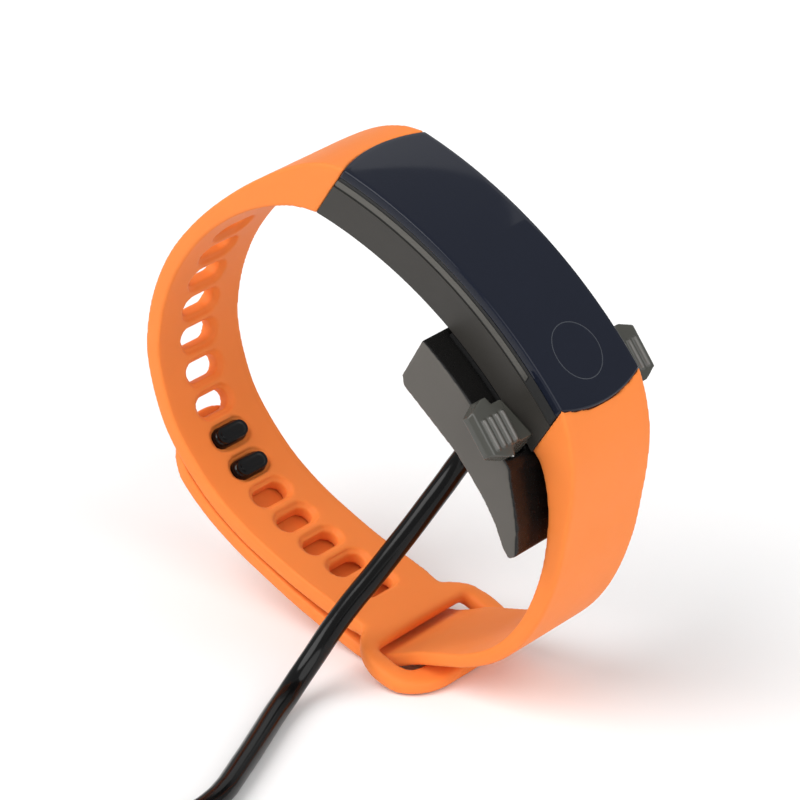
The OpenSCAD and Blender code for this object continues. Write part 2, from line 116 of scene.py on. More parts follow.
class NodeMaker:
    """One node tree under construction, with short ways to add and join nodes."""

    def __init__(self, name: str, kind: str, inputs: dict[str, object],
                 outputs: dict[str, str]) -> None:
        """Starts a tree.

        Args:
            name: the tree's name.
            kind: the tree's type.
            inputs: each input's name and its default, or None for a vector without one.
            outputs: each output's name and socket type.
        """
        self.tree = bpy.data.node_groups.new(name, kind)
        new_socket = self.tree.interface.new_socket
        self.keys: dict[str, str] = {}
        for label, default in inputs.items():
            socket = new_socket(name=label, in_out="INPUT", socket_type=socket_kind(default))
            if default is not None:
                socket.default_value = default
            self.keys[label] = socket.identifier
        for label, socket_type in outputs.items():
            new_socket(name=label, in_out="OUTPUT", socket_type=socket_type)
        self.given = self.tree.nodes.new("NodeGroupInput").outputs
        self.result = self.tree.nodes.new("NodeGroupOutput").inputs

    def add(self, kind: str, settings: dict[str, object] | None = None,
            **sockets: object) -> bpy.types.Node:
        """Adds a node.

        Args:
            kind: the node's type.
            settings: properties to set on it.
            sockets: inputs by name, with _ for a space, or by number after an i, each a value
                or an output to join.

        Returns:
            The new node.
        """
        node = self.tree.nodes.new(kind)
        for key, value in (settings or {}).items():
            setattr(node, key, value)
        for key, value in sockets.items():
            numbered = key[0] == "i" and key[1:].isdigit()
            target = node.inputs[int(key[1:]) if numbered else key.replace("_", " ")]
            if isinstance(value, bpy.types.NodeSocket):
                self.tree.links.new(value, target)
            else:
                target.default_value = value
        return node

    def math(self, operation: str, a: object, b: object = 0.0) -> bpy.types.NodeSocket:
        """Adds a math node and returns its output."""
        return self.add("ShaderNodeMath", {"operation": operation}, i0=a, i1=b).outputs[0]

    def give(self, **outputs: bpy.types.NodeSocket) -> bpy.types.NodeTree:
        """Joins the tree's outputs and returns the finished tree."""
        for key, value in outputs.items():
            self.tree.links.new(value, self.result[key])
        return self.tree


SURFACE_INPUTS = {"Vector": None, "Color": (0.5, 0.5, 0.5, 1.0), "Tone": 0.05, "Roughness": 0.5,
                  "Spread": 0.05, "Scale": 2000.0}
SURFACE_OUTPUTS = {"Color": "NodeSocketColor", "Roughness": "NodeSocketFloat",
                   "Height": "NodeSocketFloat"}


class SurfaceGroup(NodeMaker):
    """A shader group that gives a surface's colour, roughness and height."""

    def __init__(self, pattern: Pattern, **extra: object) -> None:
        """Starts the group of a pattern, with any extra inputs and their defaults."""
        inputs = {**SURFACE_INPUTS, **{key.replace("_", " "): v for key, v in extra.items()}}
        super().__init__(pattern.value, "ShaderNodeTree", inputs, SURFACE_OUTPUTS)
        self.vector, self.scale = self.given["Vector"], self.given["Scale"]

    def noise(self, scale: object, detail: float = 2.0) -> bpy.types.NodeSocket:
        """Adds noise from 0 to 1 at a scale in features per metre, and returns its output."""
        return self.add("ShaderNodeTexNoise", Vector=self.vector, Scale=scale,
                        Detail=detail).outputs[0]

    def spread(self, value: bpy.types.NodeSocket, middle: object,
               amount: object) -> bpy.types.NodeSocket:
        """Returns middle plus the value's distance from a half, times twice amount."""
        swing = self.math("MULTIPLY", self.math("SUBTRACT", value, 0.5),
                          self.math("MULTIPLY", amount, 2.0))
        return self.math("ADD", middle, swing)

    def shade(self, color: bpy.types.NodeSocket,
              factor: bpy.types.NodeSocket) -> bpy.types.NodeSocket:
        """Returns a colour made lighter or darker by a factor round 1."""
        return self.add("ShaderNodeHueSaturation", Color=color, Value=factor).outputs[0]

    def vary(self, tone: bpy.types.NodeSocket, gloss: bpy.types.NodeSocket,
             height: bpy.types.NodeSocket) -> bpy.types.NodeTree:
        """Finishes the group.

        Args:
            tone: the mask that varies the colour.
            gloss: the mask that varies the roughness.
            height: the bump's height.

        Returns:
            The finished group.
        """
        factor = self.spread(tone, 1.0, self.given["Tone"])
        rough = self.spread(gloss, self.given["Roughness"], self.given["Spread"])
        return self.give(Color=self.shade(self.given["Color"], factor), Roughness=rough,
                         Height=height)


def moulded_grain() -> bpy.types.NodeTree:
    """Builds a moulded surface: soft tone changes, patchy gloss and a spark-eroded bump."""
    g = SurfaceGroup(Pattern.GRAIN)
    patch = g.noise(scale=110.0, detail=3.0)
    rub = g.noise(scale=420.0, detail=4.0)
    return g.vary(patch, rub, g.math("ADD", g.noise(g.scale), g.math("MULTIPLY", rub, 0.35)))


def brushed_metal() -> bpy.types.NodeTree:
    """Builds fine parallel brushing along X with a slight change of tone between streaks."""
    g = SurfaceGroup(Pattern.BRUSHED)
    patch = g.noise(scale=150.0)
    g.vector = g.add("ShaderNodeVectorMath", {"operation": "MULTIPLY"}, i0=g.vector,
                     i1=(0.04, 1.0, 1.0)).outputs[0]
    streak = g.noise(g.scale, detail=3.0)
    return g.vary(streak, patch, streak)


def woven_tape() -> bpy.types.NodeTree:
    """Builds crossed threads with a fuzzy nap."""
    g = SurfaceGroup(Pattern.WOVEN)
    threads = [g.add("ShaderNodeTexWave", {"bands_direction": axis}, Vector=g.vector,
                     Scale=g.scale, Distortion=0.6).outputs["Fac"] for axis in ("X", "Y")]
    weave = g.math("MAXIMUM", threads[0], threads[1])
    nap = g.noise(scale=5200.0, detail=3.0)
    return g.vary(nap, nap, g.math("ADD", weave, g.math("MULTIPLY", nap, 0.5)))


def solder_mask() -> bpy.types.NodeTree:
    """Builds a printed board's coating with paler tracks and small pads showing through."""
    g = SurfaceGroup(Pattern.BOARD)
    mask = g.add("ShaderNodeTexBrick", {"offset": 0.37}, Vector=g.vector, Scale=g.scale,
                 Mortar_Size=0.06, Mortar_Smooth=0.1, Brick_Width=1.7).outputs["Fac"]
    pads = g.add("ShaderNodeTexVoronoi", Vector=g.vector, Scale=900.0).outputs["Distance"]
    lift = g.math("MAXIMUM", mask, g.math("LESS_THAN", pads, 0.16))
    paler = g.math("MULTIPLY", lift, g.math("MULTIPLY", g.given["Tone"], 10.0))
    rough = g.spread(lift, g.given["Roughness"], g.given["Spread"])
    return g.give(Color=g.shade(g.given["Color"], g.math("ADD", 1.0, paler)), Roughness=rough,
                  Height=lift)


def painted_light_split() -> bpy.types.NodeTree:
    """Builds moulded grain in two colours, one near the mid plane and one beyond a distance, to
    paint light: a pale outer colour as a painted reflection on the cradle's sides, and a darker
    inner colour as painted shade on the latch ears.
    """
    g = SurfaceGroup(Pattern.PAINTED_LIGHT_SPLIT, Outer=(0.5, 0.5, 0.5, 1.0), Edge=0.01,
                     Outer_Roughness=0.5)
    across = g.add("ShaderNodeSeparateXYZ", Vector=g.vector).outputs["Y"]
    beyond = g.math("SUBTRACT", g.math("ABSOLUTE", across), g.given["Edge"])
    # share runs from the inner colour to the outer one and places the painted reflection and the
    # painted shade.
    share = g.math("MINIMUM", g.math("MAXIMUM", g.math("MULTIPLY", beyond, 9000.0), 0.0), 1.0)
    mix = g.add("ShaderNodeMix", {"data_type": "RGBA"}, i0=share, i6=g.given["Color"],
                i7=g.given["Outer"])
    fine = g.noise(g.scale)
    patch = g.noise(scale=160.0, detail=3.0)
    gap = g.math("SUBTRACT", g.given["Outer Roughness"], g.given["Roughness"])
    middle = g.math("ADD", g.given["Roughness"], g.math("MULTIPLY", share, gap))
    factor = g.spread(patch, 1.0, g.given["Tone"])
    return g.give(Color=g.shade(mix.outputs[2], factor),
                  Roughness=g.spread(fine, middle, g.given["Spread"]),
                  Height=g.math("MULTIPLY", fine, g.math("ADD", share, 0.1)))


PATTERN_BUILDERS: dict[Pattern, Callable[[], bpy.types.NodeTree]] = {
    Pattern.GRAIN: moulded_grain, Pattern.BRUSHED: brushed_metal,
    Pattern.WOVEN: woven_tape, Pattern.BOARD: solder_mask, Pattern.PAINTED_LIGHT_SPLIT: painted_light_split}
PATTERN_TREES: dict[Pattern, bpy.types.NodeTree] = {}
SKIN_RADIUS = (1.0, 0.35, 0.1)
SKIN_DEPTH = 0.0012


@dataclass(frozen=True)
class Finish:
    """One finish: its colour, gloss and the pattern that breaks up both."""

    name: str
    color: tuple[float, float, float]
    roughness: float
    pattern: Pattern = Pattern.GRAIN
    tone: float = 0.05
    spread: float = 0.05
    scale: float = 2600.0
    bump: float = 0.12
    depth: float = 0.00004
    metallic: float = 0.0
    coat: float = 0.0
    coat_roughness: float = 0.04
    sheen: float = 0.0
    subsurface: float = 0.0
    glow: float = 0.0
    specular: float = 0.5
    outer: tuple[float, float, float] | None = None
    outer_roughness: float = 0.5
    edge: float = 0.0

    def material(self) -> bpy.types.Material:
        """Returns the finish's material, which is built the first time that it is asked for."""
        made = bpy.data.materials.get(self.name)
        if made:
            return made
        made = bpy.data.materials.new(self.name)
        made.use_nodes = True
        nodes, links = made.node_tree.nodes, made.node_tree.links
        shader = nodes["Principled BSDF"]
        place = nodes.new("ShaderNodeTexCoord")
        group = nodes.new("ShaderNodeGroup")
        if self.pattern not in PATTERN_TREES:
            PATTERN_TREES[self.pattern] = PATTERN_BUILDERS[self.pattern]()
        group.node_tree = PATTERN_TREES[self.pattern]
        links.new(place.outputs["Object"], group.inputs["Vector"])
        values = {"Color": (*self.color, 1.0), "Tone": self.tone, "Roughness": self.roughness,
                  "Spread": self.spread, "Scale": self.scale}
        if self.outer:
            values |= {"Outer": (*self.outer, 1.0), "Edge": self.edge,
                       "Outer Roughness": self.outer_roughness}
        for key, value in values.items():
            group.inputs[key].default_value = value
        bump = nodes.new("ShaderNodeBump")
        bump.inputs["Strength"].default_value = self.bump
        bump.inputs["Distance"].default_value = self.depth
        links.new(group.outputs["Color"], shader.inputs["Base Color"])
        links.new(group.outputs["Roughness"], shader.inputs["Roughness"])
        links.new(group.outputs["Height"], bump.inputs["Height"])
        links.new(bump.outputs["Normal"], shader.inputs["Normal"])
        constants = {"Metallic": self.metallic, "Coat Weight": self.coat,
                     "Coat Roughness": self.coat_roughness, "Sheen Weight": self.sheen,
                     "Subsurface Weight": self.subsurface,
                     "Specular IOR Level": self.specular}
        for key, value in constants.items():
            shader.inputs[key].default_value = value
        if self.subsurface:
            shader.inputs["Subsurface Radius"].default_value = SKIN_RADIUS
            shader.inputs["Subsurface Scale"].default_value = SKIN_DEPTH
        if self.glow:
            shader.inputs["Emission Color"].default_value = (*self.color, 1.0)
            shader.inputs["Emission Strength"].default_value = self.glow
        return made


ORANGE = Finish("strap_elastomer", (0.875, 0.232, 0.045), 0.55, tone=0.03, spread=0.05,
                scale=3800.0, bump=0.10, depth=0.00003, subsurface=0.10, sheen=0.02, specular=0.2)
GLASS = Finish("cover_glass", (0.0085, 0.0110, 0.0205), 0.035, tone=0.06, spread=0.015,
               scale=700.0, bump=0.004, depth=0.00001, specular=0.22)
RING = Finish("touch_ring_print", (0.040, 0.046, 0.058), 0.30, tone=0.1, bump=0.02, specular=0.3)
FRAME_BLACK = Finish("frame_black", (0.0050, 0.0050, 0.0052), 0.26, tone=0.12, spread=0.05,
                     bump=0.05, specular=0.2)
RAIL = Finish("rail_satin", (0.120, 0.115, 0.104), 0.34, Pattern.BRUSHED, tone=0.06, scale=3000.0,
              bump=0.05, metallic=0.85)
HOUSING = Finish("housing_taupe", (0.034, 0.031, 0.027), 0.46, tone=0.05, spread=0.06,
                 scale=4200.0, bump=0.16, specular=0.35)
COVER = Finish("cover_black", (0.014, 0.014, 0.015), 0.5, tone=0.08, scale=4200.0, bump=0.2)
WINDOW = Finish("sensor_window", (0.008, 0.010, 0.012), 0.05, tone=0.05, spread=0.015, bump=0.004,
                coat=0.5)
SEAL = Finish("seal_rubber", (0.03, 0.03, 0.03), 0.75, bump=0.2)
PANEL = Finish("display_panel", (0.006, 0.007, 0.010), 0.12, tone=0.05, bump=0.01)
FILM = Finish("touch_film", (0.55, 0.33, 0.15), 0.35, Pattern.BRUSHED, metallic=0.9, scale=1800.0,
              bump=0.05)
BOARD = Finish("board_green", (0.012, 0.085, 0.040), 0.38, Pattern.BOARD, tone=0.09, spread=0.06,
               scale=420.0, bump=0.3, depth=0.00003)
LAMP = Finish("pulse_lamp", (0.16, 0.70, 0.24), 0.18, tone=0.05, bump=0.02, glow=0.6)
GOLD = Finish("contact_gold", (0.80, 0.52, 0.20), 0.24, tone=0.05, metallic=1.0, scale=5200.0,
              bump=0.05)
FOIL = Finish("cell_foil", (0.55, 0.56, 0.58), 0.34, Pattern.BRUSHED, metallic=0.9, scale=1300.0,
              bump=0.2)
STEEL = Finish("bright_steel", (0.62, 0.62, 0.61), 0.24, Pattern.BRUSHED, metallic=1.0,
               scale=2600.0, bump=0.06)
STUD = Finish("stud_gloss", (0.0035, 0.0035, 0.0040), 0.15, tone=0.1, spread=0.03, bump=0.01,
              specular=0.28)
CRADLE_BLACK = Finish("cradle_black", (0.0060, 0.0058, 0.0055), 0.28, tone=0.12, spread=0.06,
                      scale=3600.0, bump=0.05, specular=0.15)
# Black cradle case: the pale grey outer colour on its side faces, beyond 12.62 mm from the mid
# plane, is a painted reflection.
CRADLE_CASE_PAINTED_REFLECTION = Finish("cradle_case_painted_reflection", (0.0060, 0.0058, 0.0055), 0.26, Pattern.PAINTED_LIGHT_SPLIT, tone=0.05,
                     spread=0.05, scale=4200.0, bump=0.16, outer=(0.100, 0.092, 0.082),
                     outer_roughness=0.5, edge=0.01262, specular=0.25)
# Latch ear: the part within 11.2 mm of the mid plane is a little darker, painted shade between
# the ear and the tracker.
EAR = Finish("ear_dark", (0.0060, 0.0058, 0.0055), 0.24, Pattern.PAINTED_LIGHT_SPLIT, tone=0.06, spread=0.05,
             bump=0.05, outer=(0.0070, 0.0068, 0.0064), outer_roughness=0.30, edge=0.0112,
             specular=0.2)
# The ear's ribs are real; their pale grey colour is a painted highlight.
EAR_RIB_PAINTED_HIGHLIGHT = Finish("ear_rib_painted_highlight", (0.125, 0.120, 0.110), 0.24, tone=0.08, spread=0.04, bump=0.04)
JACKET = Finish("cable_jacket", (0.0035, 0.0035, 0.0036), 0.15, tone=0.1, spread=0.05,
                scale=1500.0, bump=0.04, specular=0.22)
PLUG_BLACK = Finish("plug_moulding", (0.012, 0.012, 0.013), 0.42, tone=0.08, scale=3600.0,
                    bump=0.2)
TIE = Finish("hook_and_loop", (0.018, 0.018, 0.020), 0.85, Pattern.WOVEN, tone=0.3, scale=520.0,
             bump=0.5, depth=0.0001, sheen=0.3)
TONGUE = Finish("plug_insulator", (0.78, 0.78, 0.75), 0.45, tone=0.03, bump=0.06)
PAPER = Finish("floor_paper", (0.93, 0.93, 0.93), 0.9, tone=0.004, bump=0.02, scale=900.0)


# ---- Mesh helpers ----


def link(name: str, data: bpy.types.ID) -> bpy.types.Object:
    """Makes an object of some data, puts it in the scene and returns it."""
    made = bpy.data.objects.new(name, data)
    bpy.context.scene.collection.objects.link(made)
    return made


def placed(axes: Sequence[Vector], spot: Sequence[float]) -> Matrix:
    """Returns the matrix that has three axes and stands at a spot."""
    return Matrix([(*(axis[k] for axis in axes), spot[k]) for k in range(3)] + [LAST_ROW])


def shift(x: float, y: float, z: float) -> Matrix:
    """Returns a move in millimetres as a matrix."""
    return Matrix.Translation(Vector((x, y, z)) * MM)


def new_piece(name: str, mesh: bpy.types.Mesh, finish: Finish,
              smooth: bool = True) -> bpy.types.Object:
    """Makes an object at the origin from a mesh.

    Args:
        name: the piece's name.
        mesh: its mesh, already in the part's frame.
        finish: what it is made of.
        smooth: whether its faces are shaded smooth.

    Returns:
        The linked object.
    """
    mesh.name = name
    mesh.materials.clear()
    mesh.materials.append(finish.material())
    mesh.polygons.foreach_set("use_smooth", [smooth] * len(mesh.polygons))
    mesh.polygons.foreach_set("material_index", [0] * len(mesh.polygons))
    return link(name, mesh)


def applied(obj: bpy.types.Object) -> bpy.types.Mesh:
    """Returns the object's evaluated mesh and removes the object."""
    bpy.context.view_layer.update()
    graph = bpy.context.evaluated_depsgraph_get()
    mesh = bpy.data.meshes.new_from_object(obj.evaluated_get(graph))
    bpy.data.objects.remove(obj)
    return mesh


def outward(mesh: bpy.types.Mesh) -> bpy.types.Mesh:
    """Merges a closed mesh's doubles, turns its faces outwards and returns it."""
    bm = bmesh.new()
    bm.from_mesh(mesh)
    bmesh.ops.remove_doubles(bm, verts=bm.verts, dist=1e-6)
    bmesh.ops.recalc_face_normals(bm, faces=bm.faces)
    bm.to_mesh(mesh)
    bm.free()
    return mesh


def joined(name: str, meshes: Iterable[bpy.types.Mesh]) -> bpy.types.Mesh:
    """Joins meshes into a new one and returns it."""
    bm = bmesh.new()
    for mesh in meshes:
        bm.from_mesh(mesh)
    made = bpy.data.meshes.new(name)
    bm.to_mesh(made)
    bm.free()
    return made


def mesh_from(name: str, verts: Iterable[Sequence[float]],
              faces: Iterable[Sequence[int]]) -> bpy.types.Mesh:
    """Makes a closed mesh from points and faces, facing outwards."""
    mesh = bpy.data.meshes.new(name)
    mesh.from_pydata([tuple(v) for v in verts], [], [tuple(f) for f in faces])
    return outward(mesh)


def solid_of(node: str) -> bpy.types.Mesh:
    """Returns a merged copy of a frame solid's mesh."""
    return outward(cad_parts[node].data.copy())


def smooth_path(points: Sequence[Sequence[float]], steps: int) -> list[Vector]:
    """Runs a Catmull-Rom curve through points.

    Args:
        points: the points that it passes through.
        steps: how many pieces each stretch is cut into.

    Returns:
        The points of the curve.
    """
    p = [Vector(q) for q in points]
    out = []
    for i in range(len(p) - 1):
        a, b, c, d = p[max(i - 1, 0)], p[i], p[i + 1], p[min(i + 2, len(p) - 1)]
        for j in range(steps):
            t = j / steps
            out.append(0.5 * (2 * b + (c - a) * t + (2 * a - 5 * b + 4 * c - d) * t**2
                              + (3 * b - a - 3 * c + d) * t**3))
    return out + [p[-1]]


def rings_closed(rings: int, around: int) -> list[tuple[int, ...]]:
    """Returns the faces that join rings of points, with a cap on the first and the last."""
    faces: list[tuple[int, ...]] = [
        (i * around + k, i * around + (k + 1) % around, (i + 1) * around + (k + 1) % around,
         (i + 1) * around + k) for i in range(rings - 1) for k in range(around)]
    last = (rings - 1) * around
    return [*faces, tuple(range(around))[::-1], tuple(last + k for k in range(around))]


def tube(name: str, path: Sequence[Vector], radius: float, sides: int = 20) -> bpy.types.Mesh:
    """Sweeps a round tube along a path without twist, with closed ends."""
    verts: list[Vector] = []
    heading = (path[1] - path[0]).normalized()
    up = heading.orthogonal().normalized()
    for i, point in enumerate(path):
        ahead = (path[min(i + 1, len(path) - 1)] - path[max(i - 1, 0)]).normalized()
        up = (up - ahead * up.dot(ahead)).normalized()
        across = ahead.cross(up)
        verts += [point + radius * (math.cos(a) * up + math.sin(a) * across)
                  for a in (2 * math.pi * k / sides for k in range(sides))]
    return mesh_from(name, verts, rings_closed(len(path), sides))


@dataclass
class SoftCopy:
    """One copy of some touching frame solids, with its edges rounded as a mould rounds them."""

    nodes: tuple[str, ...]
    voxel: float
    rounds: int
    weight: Callable[[np.ndarray], np.ndarray] | None = None
    overlap: tuple[float, float, float] | None = None

    def _joined(self) -> bpy.types.Mesh:
        """Returns the solids as one mesh, with the last one also moved to close a hairline."""
        parts = [solid_of(node) for node in self.nodes]
        if self.overlap:
            parts.append(solid_of(self.nodes[-1]))
            parts[-1].transform(Matrix.Translation(self.overlap))
        return joined(self.nodes[0] + "_soft", parts)

    def mesh(self) -> bpy.types.Mesh:
        """Remeshes the solids evenly, relaxes them as weight says, and returns the mesh."""
        obj = link(self.nodes[0] + "_soft", self._joined())
        remesh = obj.modifiers.new("even", "REMESH")
        remesh.mode = "VOXEL"
        remesh.voxel_size = self.voxel
        mesh = applied(obj)
        count = len(mesh.vertices)
        co = np.empty(count * 3, np.float32)
        mesh.vertices.foreach_get("co", co)
        co = co.reshape(-1, 3).astype(np.float64)
        ends = np.empty(len(mesh.edges) * 2, np.int32)
        mesh.edges.foreach_get("vertices", ends)
        a, b = ends[0::2], ends[1::2]
        valence = np.bincount(a, minlength=count) + np.bincount(b, minlength=count)
        share = np.ones(count) if self.weight is None else self.weight(co)
        for _ in range(self.rounds):
            total = np.stack([np.bincount(a, co[b, k], count) + np.bincount(b, co[a, k], count)
                              for k in range(3)], axis=1)
            co += (share / 2)[:, None] * (total / valence[:, None] - co)
        mesh.vertices.foreach_set("co", co.astype(np.float32).ravel())
        mesh.update()
        return mesh


@dataclass
class RowMaker:
    """A geometry node tree that sets out a row of equal small pieces, in metres."""

    name: str
    item: RowItem
    count: int
    step: tuple[float, float, float]
    length: float
    radius: float
    height: float = 0.0
    shrink: float = 0.0
    round_sides: int = 12
    ring_sides: int = 40
    bar_points: int = 25
    bar_power: float = 10.0
    bar_tip: float = 0.02

    def build(self, finish: Finish, place: Matrix) -> bpy.types.Mesh:
        """Runs the tree.

        Args:
            finish: the row's finish.
            place: where the row's first piece goes.

        Returns:
            A plain mesh of the whole row.
        """
        sizes = {"Count": self.count, "Step": self.step, "Length": self.length,
                 "Radius": self.radius, "Height": self.height, "Shrink": self.shrink}
        g = NodeMaker(self.name, "GeometryNodeTree", sizes, {"Geometry": "NodeSocketGeometry"})
        line = g.add("GeometryNodeMeshLine", Count=g.given["Count"], Offset=g.given["Step"])
        index = g.add("GeometryNodeInputIndex").outputs[0]
        size = g.add("ShaderNodeMath", {"operation": "MULTIPLY_ADD"}, i0=index,
                     i1=g.math("MULTIPLY", g.given["Shrink"], -1.0), i2=1.0).outputs[0]
        spot = g.add("GeometryNodeInstanceOnPoints", Points=line.outputs[0],
                     Instance=self._item(g), Scale=size)
        real = g.add("GeometryNodeRealizeInstances", Geometry=spot.outputs[0])
        paint = g.add("GeometryNodeSetMaterial", Geometry=real.outputs[0],
                      Material=finish.material())
        host = link(self.name + "_host", bpy.data.meshes.new(self.name))
        modifier = host.modifiers.new(self.name, "NODES")
        modifier.node_group = g.give(Geometry=paint.outputs[0])
        for label, value in sizes.items():
            modifier[g.keys[label]] = value
        mesh = applied(host)
        mesh.transform(place)
        return outward(mesh)

    def _item(self, g: NodeMaker) -> bpy.types.NodeSocket:
        """Builds the repeated piece along X or about Z, and returns its socket."""
        length, radius = g.given["Length"], g.given["Radius"]
        if self.item is RowItem.PAD:
            size = g.add("ShaderNodeCombineXYZ", X=length, Y=radius, Z=g.given["Height"])
            return g.add("GeometryNodeMeshCube", Size=size.outputs[0]).outputs[0]
        profile = g.add("GeometryNodeCurvePrimitiveCircle", Resolution=self.round_sides,
                        Radius=radius).outputs[0]
        if self.item is RowItem.RING:
            ring = g.add("GeometryNodeCurvePrimitiveCircle", Resolution=self.ring_sides,
                         Radius=length).outputs[0]
            return g.add("GeometryNodeCurveToMesh", Curve=ring, Profile_Curve=profile).outputs[0]
        end = g.add("ShaderNodeCombineXYZ", X=length).outputs[0]
        line = g.add("GeometryNodeCurvePrimitiveLine", End=end).outputs[0]
        fine = g.add("GeometryNodeResampleCurve", Curve=line, Count=self.bar_points).outputs[0]
        along = g.add("GeometryNodeSplineParameter").outputs["Factor"]
        off = g.math("ABSOLUTE", g.math("SUBTRACT", g.math("MULTIPLY", along, 2.0), 1.0))
        full = g.math("SUBTRACT", 1.0, g.math("POWER", off, self.bar_power))
        swell = g.math("POWER", g.math("MAXIMUM", full, self.bar_tip), 0.5)
        shaped = g.add("GeometryNodeSetCurveRadius", Curve=fine, Radius=swell).outputs[0]
        pipe = g.add("GeometryNodeCurveToMesh", Curve=shaped, Profile_Curve=profile,
                     Fill_Caps=True)
        if "Scale" in pipe.inputs:
            g.tree.links.new(swell, pipe.inputs["Scale"])
        return pipe.outputs[0]


def seat(piece: bpy.types.Object, body: Body,
         replaces: Sequence[str] = ()) -> bpy.types.Object:
    """Rides a piece on a body and the frame solids that it stands for.

    Args:
        piece: the finished piece.
        body: the body that it moves with.
        replaces: frame solids that it takes the place of.

    Returns:
        The piece.
    """
    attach(piece, body.value)
    if replaces:
        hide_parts(*replaces)
    log.info("piece %s on %s: %d faces", piece.name, body.value, len(piece.data.polygons))
    return piece


def dress(finishes: dict[str, Finish]) -> None:
    """Gives frame solids that stay as they are their finishes."""
    for node, finish in finishes.items():
        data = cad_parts[node].data
        data.materials.clear()
        data.materials.append(finish.material())
        log.info("dressed %s in %s", node, finish.name)


# ---- The studio ----


@dataclass
class Studio:
    """Camera, floor and lights."""

    eye: tuple[float, float, float] = (0.3575, -0.4231, 0.2827)
    azimuth: float = 40.0
    elevation: float = 27.0
    lens: float = 208.3
    sensor: float = 36.0
    near: float = 0.02
    far: float = 20.0
    floor_size: float = 6.0
    floor_gap: float = 0.0001
    key: tuple[float, float, float] = (-0.30, -0.62, 0.72)
    key_power: float = 2.2
    key_spread: float = 50.0
    fill: tuple[float, float, float] = (0.80, -0.20, 0.57)
    fill_power: float = 1.5
    fill_spread: float = 60.0
    card_corner: tuple[float, float, float] = (-0.283, 0.320, 0.354)
    card_along: tuple[float, float, float] = (0.341, 0.045, 0.024)
    card_down: tuple[float, float, float] = (0.0, 0.20, -0.19)
    card_power: float = 0.17
    sky_power: float = 0.42

    def camera(self) -> None:
        """Places the camera."""
        data = bpy.data.cameras.new("camera")
        data.lens, data.sensor_width = self.lens, self.sensor
        data.clip_start, data.clip_end = self.near, self.far
        a, e = math.radians(self.azimuth), math.radians(self.elevation)
        back = Vector((math.sin(a) * math.cos(e), -math.cos(a) * math.cos(e), math.sin(e)))
        right = Vector((math.cos(a), math.sin(a), 0.0))
        camera = link("camera", data)
        camera.matrix_world = placed((right, back.cross(right), back), self.eye)
        bpy.context.scene.camera = camera

    def sun(self, name: str, direction: tuple[float, float, float], strength: float,
            spread: float) -> None:
        """Adds a broad even light from a direction."""
        data = bpy.data.lights.new(name, "SUN")
        data.energy, data.angle = strength, math.radians(spread)
        turn = Vector(direction).to_track_quat("Z", "Y")
        link(name, data).matrix_world = turn.to_matrix().to_4x4()

    def card(self) -> None:
        """Adds the light panel that the glass mirrors, from its corner and its two sides."""
        corner, along, down = map(Vector, (self.card_corner, self.card_along, self.card_down))
        data = bpy.data.lights.new("glass_panel", "AREA")
        data.shape, data.energy = "RECTANGLE", self.card_power
        data.size, data.size_y = along.length, down.length
        middle = corner + along / 2 + down / 2
        x, y = along.normalized(), -down.normalized()
        z = x.cross(y)
        if z.dot(middle) < 0:
            x, z = -x, -z
        link("glass_panel", data).matrix_world = placed((x, y, z), middle)

    def lights(self) -> None:
        """Sets the even light, the panel that the glass mirrors, and the sky."""
        self.sun("key", self.key, self.key_power, self.key_spread)
        self.sun("fill", self.fill, self.fill_power, self.fill_spread)
        self.card()
        world = bpy.data.worlds.new("sky")
        world.use_nodes = True
        sky = world.node_tree.nodes["Background"]
        sky.inputs["Color"].default_value = (1.0, 1.0, 1.0, 1.0)
        sky.inputs["Strength"].default_value = self.sky_power
        bpy.context.scene.world = world
        bpy.context.scene.view_settings.view_transform = "Standard"

    def floor(self) -> None:
        """Lays the pale floor."""
        h = self.floor_size / 2
        z = FLOOR_Z - self.floor_gap
        mesh = bpy.data.meshes.new("floor")
        mesh.from_pydata([(-h, -h, z), (h, -h, z), (h, h, z), (-h, h, z)], [], [(0, 1, 2, 3)])
        new_piece("floor", mesh, PAPER, smooth=False)


# ---- The charging cord ----


